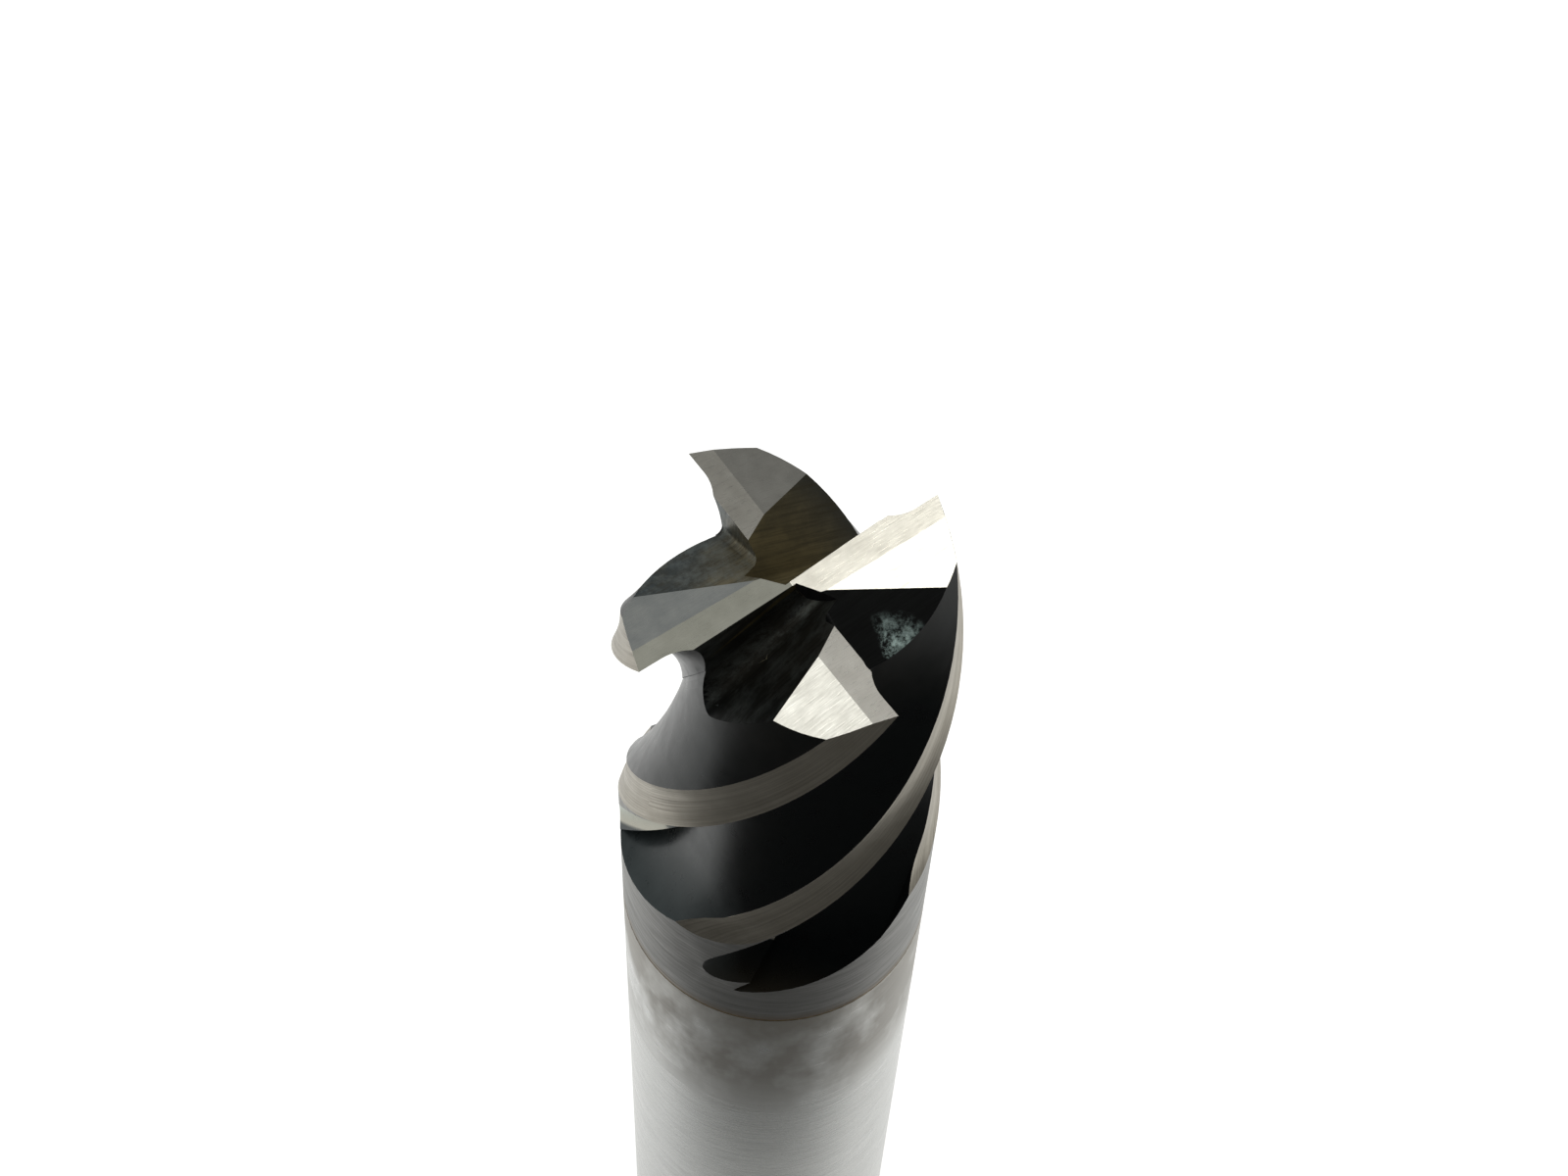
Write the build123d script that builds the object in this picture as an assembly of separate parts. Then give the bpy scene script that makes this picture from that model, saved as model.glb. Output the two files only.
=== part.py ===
from build123d import *
import os
from math import cos, degrees, pi, radians, sin, sqrt, tan

# Four-flute, right-hand, centre-cutting square end mill, standing on its shank.
# Origin: centre of the shank's end face.  +Z runs up the axis to the cutting end.
# Seen from the cutting end, the teeth lie at 0, 90, 180 and 270 degrees and lead
# anticlockwise; the teeth at 0 and 180 degrees are the long ones that reach the centre.

# Overall sizes, mm
overall_length = 73.0
cutter_diameter = 12.0
shank_diameter = 12.0
head_length = 23.6          # fluted head and its plain collar, down to the braze seam
shank_end_chamfer = 0.8
back_taper = 0.006          # mm the head's diameter falls from the tip to the seam

# Braze seam between head and shank, mm
braze_thickness = 0.12
braze_recess = 0.02         # how far the film stays below the ground surface

# Flutes
helix_angle = 40.7          # degrees
core_ratio = 0.60           # core radius over cutter radius
gullet_centre_ratio = 0.85  # radial place of the gullet's centre over cutter radius
land_width_angle = 19.0     # degrees of the circumference taken by each land
heel_ratio = 0.94           # radius at the heel of a land over cutter radius
back_bulge = 0.34           # mm the back of a tooth stands out from its chord
gullet_stop_long = 3.1      # mm from the braze seam to the end of the gullet grind
gullet_stop_short = 4.4     # the same, in the flutes ahead of the short teeth
back_stop_long = 2.5        # mm from the braze seam to the end of the back grind
back_stop_short = 4.2       # the same, in the flutes ahead of the short teeth
gullet_exit_long = 6.4      # mm over which a gullet rises to the surface
gullet_exit_short = 9.6     # the same, ahead of a short tooth
gullet_lift_long = 25.0     # degrees from the rake face to the direction it rises in
gullet_lift_short = 58.0    # the same, ahead of a short tooth
back_exit = 4.2             # mm over which a back grind rises to the surface
land_stop = 6.1             # mm from the braze seam to the end of the ground lands
land_exit_length = 1.6      # mm over which the land grind fades out

# End teeth
dish_angle = 1.5            # degrees the end edges fall towards the centre
primary_relief = 7.0        # degrees
secondary_relief = 16.0     # degrees
primary_width = 0.81        # mm from the radial line back to the secondary facet
edge_lead = 0.24            # mm the gashed edge runs ahead of the radial line
edge_skew = 3.0             # degrees the gash of a long tooth turns towards the centre

# Gashes in front of the end teeth: root line, far wall and inner end
long_gash_angle = 27.7      # degrees the root falls outwards
long_gash_depth = 1.20      # mm the root lies below the corners, on the axis
long_gash_radius = 0.60     # mm
long_gash_wall = 40.7       # degrees the far wall rises
long_gash_end_turn = 36.4   # degrees from the edge to the normal of the inner end wall
long_gash_end_offset = 0.09  # mm the inner end wall passes beyond the axis
short_gash_angle = 22.8     # degrees
short_gash_height = 0.07    # mm the extended root passes above the corners, on the axis
short_gash_radius = 0.25    # mm
short_gash_wall = 5.7       # degrees

# Derived sizes
radius = cutter_diameter / 2
clear = 1.35 * radius       # anything out here is clear of the blank
above = 0.12 * radius       # cutters start this far above the tip
long_teeth = (0, 180)
short_teeth = (90, 270)


def polar(r, angle):
    """Point at radius r and angle in degrees from the tooth's radial line."""
    return (r * cos(radians(angle)), r * sin(radians(angle)))


def gullet_profile():
    """Rake face and gullet: straight rake, round bottom touching the core."""
    gx = gullet_centre_ratio * radius
    core = core_ratio * radius
    g = (gx ** 2 - core ** 2) / (2 * core)
    low = (gx + g * cos(radians(235)), g + g * sin(radians(235)))
    inner = (gx + g * cos(radians(168)), g + g * sin(radians(168)))
    rake = Line((clear, 0), (gx, 0))
    bottom = ThreePointArc((gx, 0), low, inner)
    flank = Line(inner, (0.66 * radius, 1.15 * radius))
    top = Line((0.66 * radius, 1.15 * radius), (clear, 0.6 * radius))
    side = Line((clear, 0.6 * radius), (clear, 0))
    return make_face([rake, bottom, flank, top, side])


def back_profile():
    """Back of the next tooth: a slightly bulged face from the gullet to its heel."""
    heel = polar(heel_ratio * radius, 90 - land_width_angle)
    foot = (0.555 * radius, 0.21 * radius)
    chord = sqrt((heel[0] - foot[0]) ** 2 + (heel[1] - foot[1]) ** 2)
    normal = ((heel[1] - foot[1]) / chord, (foot[0] - heel[0]) / chord)
    middle = ((heel[0] + foot[0]) / 2 + back_bulge * normal[0],
              (heel[1] + foot[1]) / 2 + back_bulge * normal[1])
    out = polar(clear, 94 - land_width_angle)
    back = ThreePointArc(foot, middle, heel)
    lip = Line(heel, out)
    top = Line(out, (0.80 * radius, 1.05 * radius))
    side = Line((0.80 * radius, 1.05 * radius), (0.80 * radius, 0.40 * radius))
    close = Line((0.80 * radius, 0.40 * radius), foot)
    return make_face([back, lip, top, side, close])


def land_profile():
    """Flat relief of a land, from just ahead of its edge to past its heel."""
    edge = (radius - 0.004, 0)
    heel = polar(heel_ratio * radius, -land_width_angle)
    run = ((heel[0] - edge[0]) / -heel[1], -1)
    ahead = (edge[0] - 0.05 * radius * run[0], 0.05 * radius)
    behind = (heel[0] + 0.06 * radius * run[0], heel[1] - 0.06 * radius)
    return make_face(Polyline(ahead, behind, polar(clear, -land_width_angle - 6),
                              polar(clear, 4), close=True))


def swept_cutter(profile, start, end, run_out, depth, lift_angle):
    """Profile carried down the helix from the tip, rising out of the blank at its end."""
    rise_radius = (run_out ** 2 + depth ** 2) / (2 * depth)
    straight = end - run_out
    count = max(4, round(straight / (0.22 * radius)))
    heights = [above - (straight + above) * i / count for i in range(count + 1)]
    heights += [-straight - run_out * s for s in (0.25, 0.5, 0.7, 0.85, 1.0)]
    sections = []
    for z in heights:
        along = max(0.0, -z - straight)
        lift = rise_radius - sqrt(rise_radius ** 2 - along ** 2)
        turn = start + degrees(z * tan(radians(helix_angle)) / radius)
        place = Pos(0, 0, z) * Rot(0, 0, turn) * Pos(*polar(lift, lift_angle))
        sections.append(place * profile)
    return loft(sections)


def flute_cutters(tooth):
    """Gullet grind and back grind of the flute ahead of one tooth."""
    depth = (1 - core_ratio) * radius + 0.05
    if tooth in long_teeth:
        gullet = swept_cutter(gullet_profile(), tooth, head_length - gullet_stop_long,
                              gullet_exit_long, depth, gullet_lift_long)
        back = swept_cutter(back_profile(), tooth, head_length - back_stop_long,
                            back_exit, depth, 50)
    else:
        gullet = swept_cutter(gullet_profile(), tooth, head_length - gullet_stop_short,
                              gullet_exit_short, 1.3 * depth, gullet_lift_short)
        back = swept_cutter(back_profile(), tooth, head_length - back_stop_short,
                            back_exit, depth, 50)
    return [gullet, back]


def land_cutter(tooth):
    """Relief grind behind the edge of one tooth."""
    depth = (1 - heel_ratio) * radius + 0.1
    return swept_cutter(land_profile(), tooth, head_length - land_stop,
                        land_exit_length, depth, -11)


def end_facets(tooth):
    """Material above the primary and secondary relief facets of one end tooth."""
    reach = 2.5 * radius
    inner = 0.0 if tooth in long_teeth else 0.06 * radius
    outline = Polyline((inner, 0.06 * radius), (reach, 0.06 * radius), (reach, -reach),
                       (0.45 * radius, -reach), (0.12 * radius, -0.16 * radius),
                       (inner, -0.16 * radius), close=True)
    sector = extrude(make_face(outline), amount=radius, both=True)
    primary = Rot(primary_relief, 0, 0) * Pos(0, 0, reach) * Box(4 * reach, 4 * reach, 2 * reach)
    primary = Pos(radius, 0, 0) * Rot(0, -dish_angle, 0) * primary
    drop = primary_width * tan(radians(primary_relief))
    secondary = Rot(secondary_relief, 0, 0) * Pos(0, 0, reach)
    secondary = secondary * Box(4 * reach, 4 * reach, 2 * reach)
    secondary = Pos(radius, -primary_width, -drop) * Rot(0, -dish_angle, 0) * secondary
    return Rot(0, 0, tooth) * (sector & (primary + secondary))


def gash_profile(root, r, wall):
    """Upright wall on the left, rounded root, and a far wall rising to the right."""
    reach = 1.6 * radius
    start = (0, root + r)
    middle = (r - r * cos(pi / 4), root + r - r * sin(pi / 4))
    end = (r + r * sin(wall), root + r - r * cos(wall))
    far = (end[0] + reach * cos(wall), end[1] + reach * sin(wall))
    top = 3 * radius
    return make_face([Line((0, top), start), ThreePointArc(start, middle, end),
                      Line(end, far), Line(far, (far[0], top)),
                      Line((far[0], top), (0, top))])


def gash_groove(fall, root, r, wall):
    """Gash profile carried outwards and down along the root line."""
    back = 0.35 * radius
    profile = gash_profile(root, r, radians(wall))
    profile = Pos(-back, 0, back * tan(radians(fall))) * (Plane.YZ * profile)
    return extrude(profile, amount=3 * radius, dir=(cos(radians(fall)), 0, -sin(radians(fall))))


def gash_cutter(tooth):
    """Wheel-ground gash in front of one end tooth."""
    if tooth in short_teeth:
        groove = gash_groove(short_gash_angle, short_gash_height,
                             short_gash_radius, short_gash_wall)
        return Rot(0, 0, tooth) * Pos(0, edge_lead, 0) * groove
    groove = gash_groove(long_gash_angle, -long_gash_depth,
                         long_gash_radius, long_gash_wall)
    lead = edge_lead - 0.5 * radius * tan(radians(edge_skew))
    groove = Pos(0, lead, 0) * Rot(0, 0, edge_skew) * groove
    reach = 4 * radius
    kept = Rot(0, 0, long_gash_end_turn) * Pos(reach - long_gash_end_offset, 0, 0)
    kept = kept * Box(2 * reach, 2 * reach, 2 * reach)
    return Rot(0, 0, tooth) * (groove & kept)


def cutting_head():
    """Fluted carbide head with its plain collar."""
    head = Cone(radius - back_taper / 2, radius, head_length,
                align=(Align.CENTER, Align.CENTER, Align.MAX))
    for tooth in long_teeth + short_teeth:
        for cutter in flute_cutters(tooth) + [land_cutter(tooth)]:
            head = head - cutter
    for tooth in long_teeth + short_teeth:
        head = head - end_facets(tooth)
    for tooth in long_teeth + short_teeth:
        head = head - gash_cutter(tooth)
    return Pos(0, 0, overall_length) * head


def braze_joint():
    """Thin film of braze between the head's end face and the shank's."""
    film_radius = min(cutter_diameter, shank_diameter) / 2 - braze_recess
    film = extrude(Circle(film_radius), amount=braze_thickness)
    return Pos(0, 0, shank_length()) * film


def shank_length():
    return overall_length - head_length - braze_thickness


def shank():
    """Plain ground parallel shank, chamfered at its end."""
    body = extrude(Circle(shank_diameter / 2), amount=shank_length())
    bottom = body.edges().sort_by(Axis.Z)[0]
    return chamfer(bottom, shank_end_chamfer)


os.makedirs("parts", exist_ok=True)
for name, shape in (("cutting_head", cutting_head()),
                    ("braze_joint", braze_joint()),
                    ("shank", shank())):
    shape.label = name
    export_step(shape, f"parts/{name}.step")
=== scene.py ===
"""End mill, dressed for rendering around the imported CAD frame.  Metres throughout."""

import math

import bmesh
import bpy
import numpy as np
from mathutils import Matrix, Vector
from mathutils.bvhtree import BVHTree
from mathutils.geometry import barycentric_transform
from mathutils.kdtree import KDTree


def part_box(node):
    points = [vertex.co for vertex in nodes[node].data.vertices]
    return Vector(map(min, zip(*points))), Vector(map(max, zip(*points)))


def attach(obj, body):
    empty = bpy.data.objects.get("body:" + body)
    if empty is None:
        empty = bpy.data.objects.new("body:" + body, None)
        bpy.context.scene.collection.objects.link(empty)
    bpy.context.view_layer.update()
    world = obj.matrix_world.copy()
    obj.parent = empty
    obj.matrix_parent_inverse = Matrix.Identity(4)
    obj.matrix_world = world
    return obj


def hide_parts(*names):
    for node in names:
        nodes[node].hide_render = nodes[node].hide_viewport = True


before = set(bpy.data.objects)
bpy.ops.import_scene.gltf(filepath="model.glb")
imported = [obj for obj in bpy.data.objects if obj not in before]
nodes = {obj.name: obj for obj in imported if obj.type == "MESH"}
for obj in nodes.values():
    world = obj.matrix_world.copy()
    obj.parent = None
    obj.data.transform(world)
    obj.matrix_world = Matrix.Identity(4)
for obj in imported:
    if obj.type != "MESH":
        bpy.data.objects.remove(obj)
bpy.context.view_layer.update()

MM = 0.001
HEAD_LO, HEAD_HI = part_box("cutting_head")
TIP = HEAD_HI[2]                            # height of the teeth's corners
SEAM = HEAD_LO[2]                           # height of the braze seam
RADIUS = HEAD_HI[0]                         # cutter radius
HELIX_ANGLE = 40.7                          # degrees
TWIST = math.tan(math.radians(HELIX_ANGLE)) / RADIUS   # turn of the flutes per metre of height


# ---------------------------------------------------------------- material helpers
class Shader:
    """A principled material and short calls that add nodes to it."""

    def __init__(self, name, **sockets):
        self.mat = bpy.data.materials.new(name)
        self.mat.use_nodes = True
        self.tree = self.mat.node_tree
        self.bsdf = self.tree.nodes["Principled BSDF"]
        for key, value in sockets.items():
            self.bsdf.inputs[key.replace("_", " ")].default_value = value

    def node(self, kind, **props):
        made = self.tree.nodes.new(kind)
        for key, value in props.items():
            setattr(made, key, value)
        return made

    def link(self, source, target):
        self.tree.links.new(source, target)

    def coords(self, scale=(1, 1, 1), turn=(0, 0, 0)):
        """Object coordinates in millimetres, then scaled and turned."""
        tex = self.node("ShaderNodeTexCoord")
        mapping = self.node("ShaderNodeMapping")
        mapping.inputs["Scale"].default_value = [s / MM for s in scale]
        mapping.inputs["Rotation"].default_value = [math.radians(t) for t in turn]
        self.link(tex.outputs["Object"], mapping.inputs["Vector"])
        return mapping.outputs["Vector"]

    def along(self, direction):
        """Distance along a direction of the object, in metres."""
        tex = self.node("ShaderNodeTexCoord")
        dot = self.node("ShaderNodeVectorMath", operation="DOT_PRODUCT")
        dot.inputs[1].default_value = direction
        self.link(tex.outputs["Object"], dot.inputs[0])
        return dot.outputs["Value"]

    def distance(self, point):
        """Distance from a point of the object, in metres."""
        tex = self.node("ShaderNodeTexCoord")
        gap = self.node("ShaderNodeVectorMath", operation="DISTANCE")
        gap.inputs[1].default_value = point
        self.link(tex.outputs["Object"], gap.inputs[0])
        return gap.outputs["Value"]

    def noise(self, vector, scale, detail=3.0, rough=0.5):
        made = self.node("ShaderNodeTexNoise")
        made.inputs["Scale"].default_value = scale
        made.inputs["Detail"].default_value = detail
        made.inputs["Roughness"].default_value = rough
        self.link(vector, made.inputs["Vector"])
        return made.outputs["Fac"]

    def span(self, value, low, high, to_low=0.0, to_high=1.0):
        made = self.node("ShaderNodeMapRange")
        for key, number in (("From Min", low), ("From Max", high),
                            ("To Min", to_low), ("To Max", to_high)):
            made.inputs[key].default_value = number
        self.link(value, made.inputs["Value"])
        return made.outputs["Result"]

    def math(self, operation, a, b=None):
        made = self.node("ShaderNodeMath", operation=operation)
        for socket, value in zip(made.inputs, (a, b)):
            if value is None:
                continue
            if isinstance(value, (int, float)):
                socket.default_value = value
            else:
                self.link(value, socket)
        return made.outputs[0]

    def product(self, first, *rest):
        for value in rest:
            first = self.math("MULTIPLY", first, value)
        return first

    def mix(self, fac, a, b):
        made = self.node("ShaderNodeMix", data_type="RGBA")
        sockets = (made.inputs["Factor"], made.inputs[6], made.inputs[7])
        for socket, value in zip(sockets, (fac, a, b)):
            if isinstance(value, (int, float)):
                socket.default_value = value
            elif isinstance(value, tuple):
                socket.default_value = (*value, 1)
            else:
                self.link(value, socket)
        return made.outputs[2]

    def bump(self, height, distance, strength=1.0):
        made = self.node("ShaderNodeBump")
        made.inputs["Strength"].default_value = strength
        made.inputs["Distance"].default_value = distance
        self.link(height, made.inputs["Height"])
        previous = self.bsdf.inputs["Normal"]
        if previous.is_linked:
            self.link(previous.links[0].from_socket, made.inputs["Normal"])
        self.link(made.outputs["Normal"], previous)

    def feed(self, **sockets):
        for key, source in sockets.items():
            self.link(source, self.bsdf.inputs[key.replace("_", " ")])


def helix_coordinate(s):
    """Angle round the axis, less the flutes' twist: constant along a flute or a land."""
    tex = s.node("ShaderNodeTexCoord")
    split = s.node("ShaderNodeSeparateXYZ")
    s.link(tex.outputs["Object"], split.inputs["Vector"])
    around = s.math("ARCTAN2", split.outputs["Y"], split.outputs["X"])
    turned = s.math("MULTIPLY", split.outputs["Z"], TWIST)
    return s.math("SUBTRACT", around, turned), split.outputs["Z"]


def bare_strip(s):
    """Mask of the bare strip that runs ahead of each land's foot."""
    u, z = helix_coordinate(s)
    quarter = s.math("FRACT", s.math("DIVIDE", s.math("ADD", u, TWIST * TIP), math.pi / 2))
    ahead = s.span(quarter, 0.29, 0.31, 1.0, 0.0)
    tex = s.node("ShaderNodeTexCoord")
    flat = s.node("ShaderNodeVectorMath", operation="MULTIPLY")
    flat.inputs[1].default_value = (1, 1, 0)
    s.link(tex.outputs["Object"], flat.inputs[0])
    length = s.node("ShaderNodeVectorMath", operation="LENGTH")
    s.link(flat.outputs["Vector"], length.inputs[0])
    outer = s.span(length.outputs["Value"], 0.72 * RADIUS, 0.76 * RADIUS)
    above = s.span(z, LAND_FOOT - 1.1 * MM, LAND_FOOT - 0.9 * MM)
    below = s.span(z, LAND_FOOT + 2.1 * MM, LAND_FOOT + 2.4 * MM, 1.0, 0.0)
    return s.product(ahead, outer, above, below)


def grind_lines(s, turn, spacing_mm):
    """Long fine scratches: noise stretched along one direction of the object."""
    v = s.coords(scale=(0.04, 1, 0.04), turn=(0, 0, turn))
    return s.noise(v, 1.0 / spacing_mm, detail=2.0, rough=0.7)


# ---------------------------------------------------------------- materials
BARE_CARBIDE = (0.300, 0.275, 0.225), (0.470, 0.440, 0.375)     # darker and lighter blotches
PALE_GRIME = (0.15, 0.18, 0.175)


def coated_flute():
    """Near-black hard coating: brown near the tip and in one foot, a painted sheen
    lighter and bluer low on the left side, bare in a strip ahead of each land's foot."""
    s = Shader("flute_coating", Metallic=0.0, Roughness=0.30, IOR=1.5)
    s.bsdf.inputs["Specular IOR Level"].default_value = 0.23
    s.bsdf.inputs["Specular Tint"].default_value = (0.90, 1.0, 1.0, 1)
    fine = s.noise(s.coords(), 1.4, 5.0, 0.6)
    patch = s.noise(s.coords(), 0.35, 3.0, 0.55)
    _, z = helix_coordinate(s)
    tip = s.span(z, TIP - 4.2 * MM, TIP - 1.2 * MM)
    worn = s.math("MULTIPLY", tip, s.span(patch, 0.35, 0.62, 0.35, 1.0))
    black = s.mix(fine, (0.0004, 0.0006, 0.0007), (0.0013, 0.0017, 0.0018))
    brown = s.mix(fine, (0.0016, 0.0013, 0.0010), (0.0080, 0.0065, 0.0045))
    tone = s.mix(worn, black, brown)
    # painted sheen: the lower left side of the flutes is painted a lighter blue-grey, standing
    # in for light reflected there
    low = s.span(z, SEAM + 8.5 * MM, SEAM + 12.5 * MM, 1.0, 0.0)
    side = s.span(s.along((-0.97, 0.26, 0)), 0.50 * RADIUS, 1.0 * RADIUS)
    painted_sheen = s.product(low, side, s.span(fine, 0.2, 0.8, 0.7, 1.0))
    tone = s.mix(painted_sheen, tone, (0.057, 0.070, 0.072))
    foot = s.span(z, SEAM + 2.2 * MM, SEAM + 5.0 * MM, 1.0, 0.0)
    front = s.span(s.along((-0.80, -0.60, 0)), 0.72 * RADIUS, 0.97 * RADIUS)
    tone = s.mix(s.product(foot, front, 0.9), tone, (0.0150, 0.0115, 0.0065))
    bare = bare_strip(s)
    s.feed(Base_Color=s.mix(bare, tone, s.mix(fine, *BARE_CARBIDE)),
           Metallic=s.math("MULTIPLY", bare, 0.92),
           Roughness=s.span(s.math("ADD", fine, tip), 0.2, 1.6, 0.24, 0.50))
    s.bump(grind_lines(s, 0, 0.12), 0.003 * MM, 0.4)
    s.bump(fine, 0.004 * MM, 0.3)
    return s.mat


def coated_collar():
    """The same coating on the ground cylinder: dark grey, with a heat-tinted lower rim."""
    s = Shader("collar_coating", Metallic=0.90, Roughness=0.34)
    v = s.coords(scale=(0.05, 0.05, 1))
    rings = s.noise(v, 7.0, 2.0, 0.7)
    blotch = s.noise(s.coords(), 0.6, 4.0, 0.6)
    _, z = helix_coordinate(s)
    wobble = s.math("MULTIPLY", s.math("SUBTRACT", blotch, 0.5), 0.5 * MM)
    height = s.math("ADD", z, wobble)
    rim = s.span(height, SEAM + 0.05 * MM, SEAM + 0.60 * MM, 0.8, 0.0)
    grey = s.mix(blotch, (0.118, 0.118, 0.110), (0.188, 0.187, 0.174))
    grey = s.mix(s.span(rings, 0.35, 0.7, 0.0, 0.35), grey, (0.085, 0.084, 0.078))
    s.feed(Base_Color=s.mix(rim, grey, (0.110, 0.078, 0.040)),
           Roughness=s.span(rings, 0.3, 0.7, 0.34, 0.50))
    s.bump(rings, 0.003 * MM, 0.6)
    return s.mat


def ground_land():
    """Bare ground carbide on the lands, with faint lines running along the helix."""
    s = Shader("ground_land", Metallic=0.92, Roughness=0.36)
    u, z = helix_coordinate(s)
    join = s.node("ShaderNodeCombineXYZ")
    s.link(s.math("MULTIPLY", u, 34.0), join.inputs["X"])
    s.link(s.math("MULTIPLY", z, 70.0), join.inputs["Y"])
    lines = s.noise(join.outputs["Vector"], 1.6, 4.0, 0.72)
    blotch = s.noise(s.coords(), 0.9, 5.0, 0.6)
    tone = s.mix(blotch, *BARE_CARBIDE)
    tone = s.mix(s.span(lines, 0.40, 0.66, 0.0, 0.6), tone, (0.190, 0.172, 0.138))
    s.feed(Base_Color=tone, Roughness=s.span(lines, 0.3, 0.7, 0.34, 0.52))
    s.bump(lines, 0.006 * MM, 0.7)
    return s.mat


def ground_end(name, turn, light, dark):
    """Bare ground carbide on the end relief facets, with grind lines across the edge."""
    s = Shader(name, Metallic=0.95, Roughness=0.30)
    lines = grind_lines(s, turn, 0.030)
    blotch = s.noise(s.coords(), 1.1, 5.0, 0.62)
    tone = s.mix(s.span(blotch, 0.3, 0.7), dark, light)
    tone = s.mix(s.span(lines, 0.42, 0.70, 0.0, 0.40), tone,
                 tuple(0.72 * c for c in dark))
    s.feed(Base_Color=tone, Roughness=s.span(lines, 0.3, 0.7, 0.26, 0.38))
    s.bump(lines, 0.0015 * MM, 0.4)
    return s.mat


PATCH_SIDE = (0.933, -0.307, 0.187)                 # across the patch's straight edge
PATCH_EDGE = 0.341 * RADIUS + 0.187 * TIP           # where that edge is along it


def gash_surface(name, turn, inner, outer, reach, grime, root):
    """Gash walls: heat-stained brown near the axis, darker and bluer further out."""
    s = Shader(name, Metallic=0.70, Roughness=0.38)
    s.bsdf.inputs["Specular IOR Level"].default_value = 0.15
    lines = grind_lines(s, turn, 0.09)
    patch = s.noise(s.coords(), 0.75, 4.0, 0.6)
    away = s.distance((0, 0, TIP - 0.2 * RADIUS))
    ragged = s.math("ADD", away, s.math("MULTIPLY", s.math("SUBTRACT", patch, 0.5), 3.0 * MM))
    tone = s.mix(s.span(ragged, reach[0] * RADIUS, reach[1] * RADIUS), inner, outer)
    tone = s.mix(s.span(patch, 0.35, 0.65, 0.0, 0.55), tone,
                 tuple(0.45 * c for c in inner))
    tone = s.mix(s.span(lines, 0.42, 0.66, 0.0, 0.6), tone, tuple(0.25 * c for c in inner))
    most, pale, stretch, place = grime
    spots = s.noise(s.coords(scale=stretch), 1.9, 7.0, 0.78)
    spread = 1.0
    if place:
        near = s.span(s.distance(place), 0.13 * RADIUS, 0.27 * RADIUS, 1.0, 0.0)
        beyond = s.span(s.along(PATCH_SIDE), PATCH_EDGE, PATCH_EDGE + 0.02 * RADIUS)
        spread = s.math("MULTIPLY", near, beyond)
    grimy = s.math("MULTIPLY", s.span(spots, 0.45, 0.68, 0.0, most), spread)
    tone = s.mix(grimy, tone, pale)
    if root:
        tone = s.mix(s.span(lines, 0.3, 0.7, 0.25, 0.75), tone,
                     tuple(0.04 + 1.6 * c for c in inner))
    s.feed(Base_Color=tone, Roughness=s.span(lines, 0.3, 0.7, 0.34, 0.50))
    s.bump(lines, 0.004 * MM, 0.6)
    return s.mat


def broken_carbide():
    """Fresh grainy fracture inside a chip."""
    s = Shader("broken_carbide", Metallic=0.35, Roughness=0.50)
    grain = s.noise(s.coords(), 9.0, 3.0, 0.7)
    s.feed(Base_Color=s.mix(grain, (0.38, 0.37, 0.35), (0.78, 0.77, 0.73)))
    s.bump(grain, 0.02 * MM, 0.8)
    return s.mat


def ground_shank():
    """Centreless-ground steel with fine rings, soft stains below the seam and dull spots."""
    s = Shader("ground_shank", Metallic=0.90, Roughness=0.30)
    rings = s.noise(s.coords(scale=(0.04, 0.04, 1)), 9.0, 3.0, 0.7)
    broad = s.noise(s.coords(scale=(1, 1, 0.55)), 0.32, 4.0, 0.60)
    small = s.noise(s.coords(), 1.5, 4.0, 0.65)
    _, z = helix_coordinate(s)
    near = s.span(z, SEAM - 11.0 * MM, SEAM - 6.0 * MM)
    stain = s.math("MULTIPLY", s.span(broad, 0.35, 0.55), near)
    tint = s.span(z, SEAM - 3.5 * MM, SEAM, 0.0, 0.55)
    steel = s.mix(small, (0.375, 0.382, 0.367), (0.445, 0.452, 0.436))
    steel = s.mix(s.math("MULTIPLY", stain, 0.68), steel, (0.185, 0.162, 0.128))
    steel = s.mix(tint, steel, (0.205, 0.190, 0.155))
    steel = s.mix(s.span(rings, 0.45, 0.75, 0.0, 0.20), steel, (0.34, 0.34, 0.325))
    s.feed(Base_Color=steel, Roughness=s.math("ADD", s.span(rings, 0.3, 0.7, 0.22, 0.34),
                                              s.math("MULTIPLY", stain, 0.14)))
    s.bump(rings, 0.003 * MM, 0.6)
    return s.mat


def braze_metal():
    """Dull brown-gold braze, heat-tinted."""
    s = Shader("braze", Metallic=0.85, Roughness=0.45)
    n = s.noise(s.coords(), 2.2, 4.0, 0.6)
    s.feed(Base_Color=s.mix(n, (0.16, 0.10, 0.045), (0.42, 0.30, 0.14)))
    s.bump(n, 0.01 * MM, 0.6)
    return s.mat


# ---------------------------------------------------------------- the cutting head
TEETH = (0, 90, 180, 270)
LONG_TEETH = (0, 180)
LAND_ANGLE = 19.0            # degrees of the circumference taken by a land
HEEL = 0.94                  # radius at the heel of a land over cutter radius
LAND_FOOT = SEAM + 6.1 * MM  # height where the ground lands begin to fade out
DISH = 1.5                   # degrees the end edges fall towards the centre
RELIEFS = (7.0, 16.0)        # degrees, primary and secondary facet
GASH_WALLS = {True: 40.7, False: 5.7}   # long tooth: degrees the far wall rises
GASHES = {True: (27.7, 3.0), False: (22.8, 0.0)}   # long tooth: root's fall, its skew
BEHIND_TOOTH = 30.0          # degrees behind an edge that still count as that tooth's
END_DEPTH = 0.35 * RADIUS    # the end facets are no lower than this below the tip
GASH_DEPTH = 1.2 * RADIUS    # and the gashes no lower than this
FACET_FIT = math.radians(1.5)   # a facet's faces are this close to its normal
ROOT_FIT = math.radians(3.0)    # a gash root's faces are this far from the walls' normals
OUTSIDE = 0.9992             # from this radius over cutter radius on, the ground cylinder
OFF_SECTION = 0.012          # a gash's faces are this far off the flutes' cross-section
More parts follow.
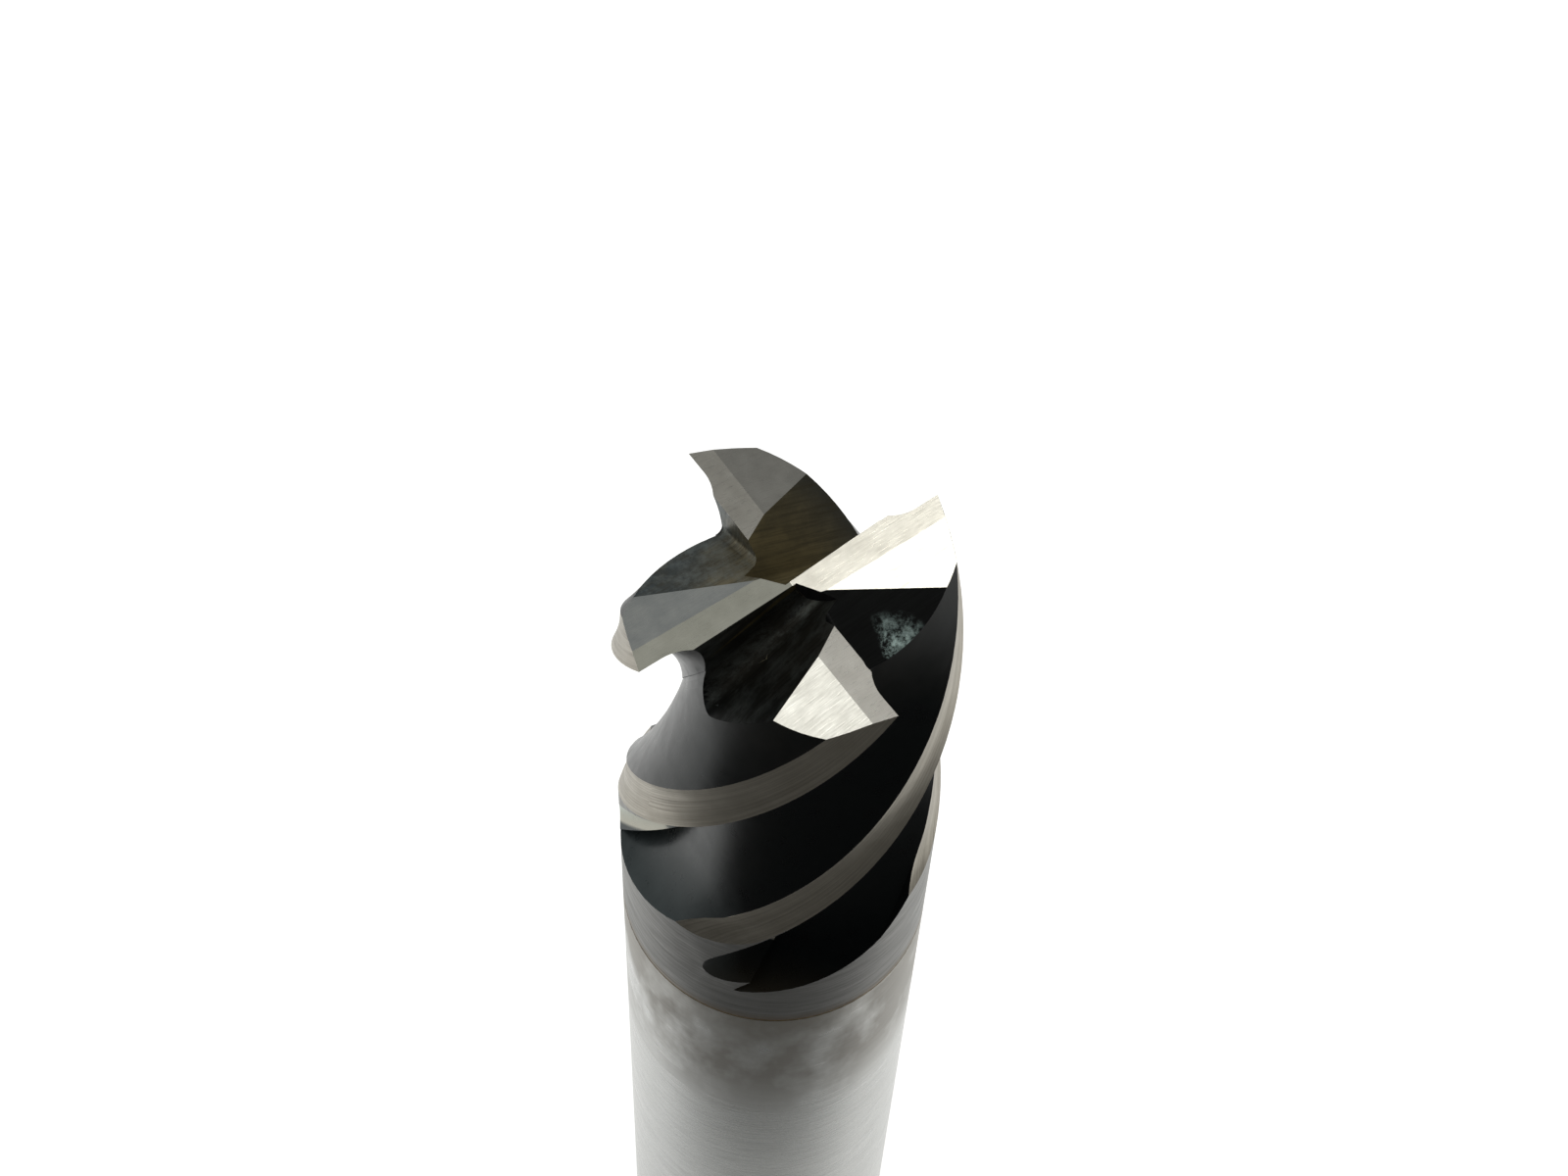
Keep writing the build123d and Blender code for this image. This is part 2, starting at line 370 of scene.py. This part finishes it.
LAND_FIT = 0.004             # a land's faces are no further than this inside its line
FADING = 1.7 * MM, 1.8 * MM  # above and below LAND_FOOT, where a land fades out
FACES_OUT = 0.86             # normal along the radius, least on a fading land


def turned(tooth, v):
    """A direction given in a tooth's own frame, in the part's frame."""
    return Matrix.Rotation(math.radians(tooth), 3, "Z") @ Vector(v)


def facet_normals():
    """(normal, tooth, which facet) of the eight end relief facets."""
    found = []
    for tooth in TEETH:
        for which, relief in enumerate(RELIEFS):
            tilt = Matrix.Rotation(math.radians(-DISH), 3, "Y")
            tilt = tilt @ Matrix.Rotation(math.radians(relief), 3, "X")
            found.append((turned(tooth, tilt @ Vector((0, 0, 1))), tooth, which))
    return found


def gash_lines():
    """(direction of the gash's root, tooth) for the four end gashes."""
    found = []
    for tooth in TEETH:
        fall, skew = GASHES[tooth in LONG_TEETH]
        d = Vector((math.cos(math.radians(fall)), 0, -math.sin(math.radians(fall))))
        found.append((turned(tooth + skew, d), tooth))
    return found


def in_section(p):
    """Radius over cutter radius, and degrees ahead of the nearest tooth behind, untwisted."""
    r = math.hypot(p.x, p.y) / RADIUS
    angle = math.degrees(math.atan2(p.y, p.x) - TWIST * (p.z - TIP))
    return r, (angle + BEHIND_TOOTH) % 90.0 - BEHIND_TOOTH


def land_line(angle):
    """Radius of the flat land at an angle from its edge, over cutter radius."""
    a = math.radians(LAND_ANGLE)
    dx, dy = HEEL * math.cos(a) - 1, -HEEL * math.sin(a)
    t = math.radians(angle)
    return dy / (dy * math.cos(t) - dx * math.sin(t))


def flute_section(mesh):
    """The flutes' cross-section, untwisted, as a cloud of points from the middle heights."""
    spots = []
    for face in mesh.polygons:
        if TIP - 2.5 * RADIUS < face.center.z < TIP - 1.25 * RADIUS:
            corners = [mesh.vertices[v].co for v in face.vertices]
            spots.append(face.center)
            spots += corners
            for a, b in zip(corners, corners[1:] + corners[:1]):
                spots += [a.lerp(b, t) for t in (0.2, 0.4, 0.6, 0.8)]
    cloud = KDTree(len(spots))
    for k, spot in enumerate(spots):
        r, angle = in_section(spot)
        a = math.radians(angle)
        cloud.insert((r * math.cos(a), r * math.sin(a), 0), k)
    cloud.balance()
    return cloud


def off_section(cloud, p):
    """Distance of a point from the flutes' cross-section, over cutter radius."""
    r, angle = in_section(p)
    a = math.radians(angle)
    return cloud.find((r * math.cos(a), r * math.sin(a), 0))[2]


def region(mesh, face, facets, gashes, cloud):
    """Which finish a face of the head has."""
    centre, normal = face.center, face.normal
    if normal.z > 0.9 and centre.z > TIP - END_DEPTH:
        for facet, tooth, which in facets:
            if normal.angle(facet) < FACET_FIT:
                return f"end_{tooth}_{which}"
    corners = [in_section(mesh.vertices[v].co) for v in face.vertices]
    if centre.z < SEAM + 0.005 * MM or min(r for r, _ in corners) > OUTSIDE:
        return "collar"
    if land_face(centre, normal, corners):
        return "land"
    if centre.z > TIP - GASH_DEPTH and off_section(cloud, centre) > OFF_SECTION:
        best = min(gashes, key=lambda g: abs(normal.dot(g[0]))
                   + (0 if in_gash(centre, g[1]) else 9))
        return f"gash_{best[1]}" + ("_root" if in_root(normal, best[1]) else "")
    return "flute"


def land_face(centre, normal, corners):
    """Is a face on a ground land or on its fading foot?"""
    r, angle = in_section(centre)
    rise = centre.z - LAND_FOOT
    if rise > FADING[0]:
        return all(-LAND_ANGLE - 0.7 < a < 0.4 and r > land_line(a) - LAND_FIT
                   for r, a in corners)
    outward = (normal.x * centre.x + normal.y * centre.y) / math.hypot(centre.x, centre.y)
    return (rise > -FADING[1] and outward > FACES_OUT and -BEHIND_TOOTH < angle < 1.0
            and r > land_line(angle) - LAND_FIT)


def in_root(normal, tooth):
    """Is a gash's face on its rounded root, between the upright and the far wall?"""
    fall, skew = GASHES[tooth in LONG_TEETH]
    f, w = math.radians(fall), math.radians(GASH_WALLS[tooth in LONG_TEETH])
    far = Vector((math.sin(f) * math.cos(w), -math.cos(f) * math.sin(w),
                  math.cos(f) * math.cos(w))).normalized()
    local = turned(-tooth - skew, normal)
    upright = Vector((0, -1, 0))
    return (min(local.angle(far), local.angle(upright)) > ROOT_FIT
            and local.angle(far) < upright.angle(far) > local.angle(upright))


def in_gash(p, tooth):
    """Is a point in the quarter that one tooth's gash cuts?"""
    near = turned(-tooth, p)
    return near.x > -0.36 * RADIUS and -0.1 * RADIUS < near.y < 1.2 * RADIUS


def welded(mesh):
    """Joins the corners that the mesh keeps apart only for their normals."""
    bm = bmesh.new()
    bm.from_mesh(mesh)
    bmesh.ops.remove_doubles(bm, verts=bm.verts, dist=0.0002 * MM)
    bm.to_mesh(mesh)
    bm.free()


def chip_stone(index, centre, size, turn, material):
    """A small irregular stone that takes one chip out of an edge."""
    rng = np.random.default_rng(100 + index)
    bm = bmesh.new()
    bmesh.ops.create_icosphere(bm, subdivisions=2, radius=1.0)
    for v in bm.verts:
        v.co *= 1.0 + 0.30 * (rng.random() - 0.5)
    shape = Matrix.Diagonal((*size, 1))
    bm.transform(Matrix.Translation(centre) @ Matrix.Rotation(turn, 4, "Z") @ shape)
    mesh = bpy.data.meshes.new(f"chip_{index}")
    bm.to_mesh(mesh)
    bm.free()
    mesh.materials.append(material)
    made = bpy.data.objects.new(f"chip_{index}", mesh)
    bpy.context.scene.collection.objects.link(made)
    return made


# Chips: tooth angle, distance out, distance ahead of its radial line, drop below the
# corner, then half sizes along, across and down.  All in cutter radii.
CHIPS = [
    (0, 0.655, 0.060, 0.000, (0.050, 0.018, 0.020)),
    (0, 0.600, 0.058, 0.000, (0.020, 0.014, 0.014)),
    (0, 0.715, 0.064, 0.000, (0.016, 0.014, 0.012)),
    (0, 0.840, 0.020, 0.000, (0.034, 0.012, 0.012)),
    (0, 0.975, 0.012, 0.000, (0.020, 0.014, 0.016)),
    (270, 0.655, 0.046, 0.000, (0.032, 0.018, 0.022)),
    (270, 0.695, 0.048, 0.000, (0.014, 0.014, 0.014)),
    (270, 0.870, 0.024, 0.000, (0.020, 0.012, 0.012)),
    (270, 0.480, 0.046, 0.000, (0.022, 0.010, 0.010)),
    (180, 0.700, 0.060, 0.000, (0.020, 0.014, 0.012)),
    (180, 0.450, 0.044, 0.004, (0.016, 0.010, 0.010)),
    (90, 0.790, 0.036, 0.000, (0.018, 0.014, 0.012)),
    (90, 0.550, 0.046, 0.000, (0.022, 0.010, 0.010)),
]


def chipped(head, material):
    """Takes the chips out of the head's edges."""
    for index, (tooth, out, ahead, drop, size) in enumerate(CHIPS):
        centre = turned(tooth, (out * RADIUS, ahead * RADIUS, TIP - drop * RADIUS))
        stone = chip_stone(index, centre, [s * RADIUS for s in size],
                           math.radians(tooth), material)
        cut = head.modifiers.new("chip", "BOOLEAN")
        cut.object = stone
        cut.operation = "DIFFERENCE"
        cut.solver = "EXACT"
        cut.material_mode = "TRANSFER"
        bpy.context.view_layer.update()
        done = bpy.data.meshes.new_from_object(
            head.evaluated_get(bpy.context.evaluated_depsgraph_get()))
        head.modifiers.clear()
        head.data = done
        bpy.data.objects.remove(stone)
    head.data.name = head.name


def exact_normals(mesh, source, loose):
    """Gives a cut mesh the source's own normals; faces of material slots loose stay flat."""
    corners = [v.co.copy() for v in source.vertices]
    tree = BVHTree.FromPolygons(corners, [tuple(f.vertices) for f in source.polygons])
    normals = [None] * len(mesh.loops)
    for face in mesh.polygons:
        face.use_smooth = True
        old = None
        if face.material_index not in loose:
            _, _, nearest, _ = tree.find_nearest(face.center)
            old = source.polygons[nearest]
            if old.normal.dot(face.normal) < 0.98:
                old = None
        for loop in face.loop_indices:
            if old is None:
                normals[loop] = face.normal.copy()
                continue
            a, b, c = (source.vertices[v].co for v in old.vertices)
            na, nb, nc = (source.corner_normals[i].vector for i in old.loop_indices)
            spot = mesh.vertices[mesh.loops[loop].vertex_index].co
            normals[loop] = barycentric_transform(spot, a, b, c, na, nb, nc).normalized()
    mesh.normals_split_custom_set(normals)


def build_head():
    """The head as its own piece: chipped edges and a finish for each ground surface."""
    source = nodes["cutting_head"].data
    cloud = flute_section(source)
    mesh = source.copy()
    head = bpy.data.objects.new("head_finished", mesh)
    bpy.context.scene.collection.objects.link(head)
    mesh.materials.clear()
    finishes = head_finishes()
    names = list(finishes)
    for name in names:
        mesh.materials.append(finishes[name])
    facets, gashes = facet_normals(), gash_lines()
    for face in mesh.polygons:
        face.material_index = names.index(region(mesh, face, facets, gashes, cloud))
    welded(mesh)
    chipped(head, broken_carbide())
    exact_normals(head.data, source, {len(names)})
    return head


END_TONES_LIT_AND_SHADED = {                # lighter and darker tone of an end facet's patches; the brightness set facet by facet is painted light and shade
    None: ((0.52, 0.505, 0.465), (0.40, 0.385, 0.350)),
    (90, 0): ((0.42, 0.410, 0.375), (0.32, 0.310, 0.280)),
    (90, 1): ((0.385, 0.380, 0.350), (0.29, 0.285, 0.260)),
    (180, 0): ((0.66, 0.660, 0.570), (0.54, 0.540, 0.460)),
    (180, 1): ((0.57, 0.590, 0.560), (0.41, 0.435, 0.430)),
    (270, 0): ((0.60, 0.580, 0.535), (0.48, 0.460, 0.420)),
}
GASH_STAIN_AND_SHADE = {
    # near the axis, further out, radii between which one gives way to the other,
    # pale grime: how much, tone, stretch of its pattern, place
    # the brown near the axis is heat stain; part of the difference in brightness from tooth to
    # tooth is painted light and shade
    0: ((0.110, 0.088, 0.040), (0.022, 0.027, 0.028), (0.42, 0.78),
        (0.0, PALE_GRIME, (1, 1, 1), None)),
    90: ((0.200, 0.178, 0.118), (0.055, 0.074, 0.084), (0.38, 0.60),
         (0.45, (0.24, 0.27, 0.26), (1, 1, 1), None)),
    180: ((0.028, 0.026, 0.021), (0.009, 0.011, 0.011), (0.42, 0.78),
          (0.34, (0.15, 0.17, 0.16), (0.22, 0.8, 0.8), None)),
    270: ((0.0022, 0.0026, 0.0026), (0.0018, 0.0022, 0.0024), (0.42, 0.78),
          (1.0, (0.27, 0.35, 0.34), (1.3, 1.3, 1.3),
           turned(270, (0.63 * RADIUS, 0.27 * RADIUS, TIP - 0.16 * RADIUS)))),
}


def head_finishes():
    """Material for each region name."""
    flute = coated_flute()
    made = {"flute": flute, "collar": coated_collar(), "land": ground_land()}
    for tooth in TEETH:
        for which in (0, 1):
            name = f"end_{tooth}_{which}"
            made[name] = ground_end(name, 90 + tooth + 6 * which,
                                    *END_TONES_LIT_AND_SHADED.get((tooth, which), END_TONES_LIT_AND_SHADED[None]))
        for root in (False, True):
            name = f"gash_{tooth}" + ("_root" if root else "")
            made[name] = gash_surface(name, tooth, *GASH_STAIN_AND_SHADE[tooth], root)
    return made


# ---------------------------------------------------------------- pieces
head = build_head()
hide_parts("cutting_head")
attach(head, "root")


def refinish(node, material):
    """Gives a CAD node's slots a better material."""
    mesh = nodes[node].data
    for k in range(len(mesh.materials)):
        mesh.materials[k] = material


refinish("shank", ground_shank())
refinish("braze_joint", braze_metal())

# ---------------------------------------------------------------- studio
def softbox(name, towards, distance, size, radiance, colour):
    """A square area light facing the tip of the tool."""
    light = bpy.data.lights.new(name, "AREA")
    light.size = size
    light.energy = radiance * math.pi * size ** 2
    light.color = colour
    lamp = bpy.data.objects.new(name, light)
    bpy.context.scene.collection.objects.link(lamp)
    way = Vector(towards).normalized()
    lamp.location = Vector((0, 0, TIP)) + way * distance
    lamp.rotation_euler = way.to_track_quat("Z", "Y").to_euler()


softbox("overhead", (0.40, -0.10, 0.91), 0.50, 0.25, 5.2, (1.0, 0.995, 0.93))
softbox("window", (-0.33, 0.33, 0.88), 0.55, 0.29, 2.7, (0.98, 1.0, 0.97))

world = bpy.data.worlds.new("studio")
bpy.context.scene.world = world
world.use_nodes = True
sky = world.node_tree.nodes["Background"]
sky.inputs["Color"].default_value = (1, 1, 1, 1)
sky.inputs["Strength"].default_value = 0.28

FLOOR_HALF = 1.5
CARD_HALF = 0.8
CARD_LIFT = 0.0004           # the card on the floor lies this far above it


def square(name, half, height):
    """A level square mesh round the axis."""
    mesh = bpy.data.meshes.new(name)
    mesh.from_pydata([(-half, -half, height), (half, -half, height),
                      (half, half, height), (-half, half, height)], [], [(0, 1, 2, 3)])
    return mesh


floor_mesh = square("floor", FLOOR_HALF, 0)
floor = bpy.data.objects.new("floor", floor_mesh)
bpy.context.scene.collection.objects.link(floor)
paper = Shader("paper", Roughness=0.9, Base_Color=(0.90, 0.90, 0.90, 1))
paper.bsdf.inputs["Specular IOR Level"].default_value = 0.0
paper.bsdf.inputs["Emission Color"].default_value = (1, 1, 1, 1)
paper.bsdf.inputs["Emission Strength"].default_value = 0.52
floor_mesh.materials.append(paper.mat)


FRONT = Vector((-0.61, -0.79, 0))    # the side of the tool that the camera is on


def painted_shade_card(name, mesh, start, end, most):
    """A soft-edged dark surface on the camera's side, seen only in reflections: painted shade
    that stands in for the shade on that side.
    """
    card = bpy.data.objects.new(name, mesh)
    bpy.context.scene.collection.objects.link(card)
    s = Shader(name, Roughness=1.0, Base_Color=(0.02, 0.02, 0.02, 1))
    s.bsdf.inputs["Specular IOR Level"].default_value = 0.0
    s.feed(Alpha=s.span(s.along(FRONT), start, end, 0.0, most))
    mesh.materials.append(s.mat)
    card.visible_camera = False
    card.visible_diffuse = False
    card.visible_shadow = False


# painted shadow: a dark card on the floor in front of the tool, standing in for the shadow
# cast there from the camera's side
painted_shade_card("floor_shadow_card", square("floor_shadow_card", CARD_HALF, CARD_LIFT), 6 * MM, 23 * MM, 0.96)

# painted shade: a dark half sphere on the camera's side of the room, standing in for the dim
# side of the room
room = bmesh.new()
bmesh.ops.create_uvsphere(room, u_segments=48, v_segments=24, radius=0.85)
bmesh.ops.bisect_plane(room, geom=room.verts[:] + room.edges[:] + room.faces[:],
                       plane_co=(0, 0, 0.002), plane_no=(0, 0, 1), clear_inner=True)
front_room = bpy.data.meshes.new("room_shade_card")
room.to_mesh(front_room)
room.free()
painted_shade_card("room_shade_card", front_room, 0.13, 0.42, 0.97)

# ---------------------------------------------------------------- camera
VIEW = -37.62, 60.25, 3.00               # degrees: azimuth, elevation, roll
OFFSET = -0.0384, -0.0347, 16.6086       # of the lens from the tip: right, up, back, in radii
LENS = 69.65                             # mm, on a sensor 36 mm wide


def place_camera():
    """The view of the photograph."""
    azimuth, elevation, roll = (math.radians(a) for a in VIEW)
    back = Vector((math.sin(azimuth) * math.cos(elevation),
                   -math.cos(azimuth) * math.cos(elevation), math.sin(elevation)))
    right = Vector((0, 0, 1)).cross(back).normalized()
    up = back.cross(right)
    turned_right = math.cos(roll) * right + math.sin(roll) * up
    turned_up = -math.sin(roll) * right + math.cos(roll) * up
    offset = OFFSET[0] * turned_right + OFFSET[1] * turned_up + OFFSET[2] * back
    axes = Matrix((turned_right, turned_up, back)).transposed().to_4x4()
    lens = bpy.data.cameras.new("camera")
    lens.sensor_width = 36
    lens.lens = LENS
    lens.clip_start = 0.001
    lens.clip_end = 20
    camera = bpy.data.objects.new("camera", lens)
    bpy.context.scene.collection.objects.link(camera)
    camera.matrix_world = Matrix.Translation(
        Vector((0, 0, TIP)) + 6.0 * MM * offset) @ axes
    bpy.context.scene.camera = camera


place_camera()
bpy.context.scene.view_settings.view_transform = "Standard"
